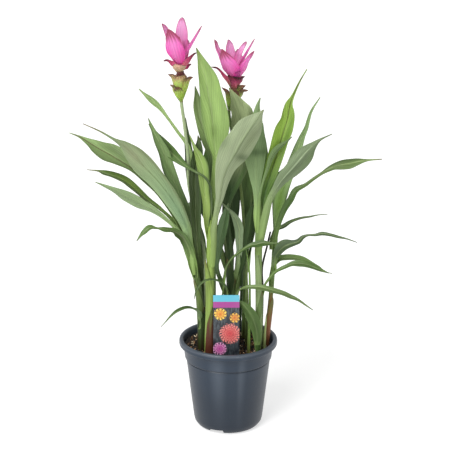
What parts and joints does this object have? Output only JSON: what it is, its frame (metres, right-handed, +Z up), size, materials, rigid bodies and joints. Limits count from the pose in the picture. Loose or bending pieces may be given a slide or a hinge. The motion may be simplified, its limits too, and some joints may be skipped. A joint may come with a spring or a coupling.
{
  "type": "potted siam tulip",
  "caption": "Flowering siam tulip plant with fanned lance-shaped leaves, pink flower heads on leafless stalks, a plant label and a round plastic nursery pot.",
  "frame": {"origin": "middle of the pot's foot, on the surface it stands on", "axes": "+Z up, along the height; -Y to the front, where the label faces; +X to the right seen from the front"},
  "size_m": [0.4253, 0.2705, 0.5815],
  "materials": {
    "dark_leaf": "satin dark green leaf",
    "mid_leaf": "satin mid green leaf",
    "light_leaf": "satin light green leaf",
    "grey_leaf": "matt grey-green leaf underside",
    "flower_green": "smooth yellow-green bract and stalk with brown tips",
    "petal_pink": "soft pink bract with maroon tip",
    "label_card": "printed satin plastic card",
    "soil": "rough dark brown potting soil",
    "pot_plastic": "satin slate-grey moulded plastic"
  },
  "bodies": {
    "root": {"left_inner_shoot": "dark_leaf", "middle_shoot": "dark_leaf", "dry_stalk": "dark_leaf", "label_sprout": "dark_leaf", "right_outer_shoot": "mid_leaf", "broad_young_leaf": "mid_leaf", "crossing_sprout": "mid_leaf", "right_sprout": "mid_leaf", "low_sprout": "mid_leaf", "back_left_shoot": "mid_leaf", "back_right_shoot": "mid_leaf", "front_shoot": "light_leaf", "rolled_leaf": "light_leaf", "short_sheath": "light_leaf", "left_outer_shoot": "grey_leaf", "right_inner_shoot": "grey_leaf", "left_flower_stalk": "flower_green", "right_flower_stalk": "flower_green", "left_flower_crown": "petal_pink", "right_flower_crown": "petal_pink", "label": "label_card", "soil": "soil", "pot": "pot_plastic"}
  },
  "joints": []
}
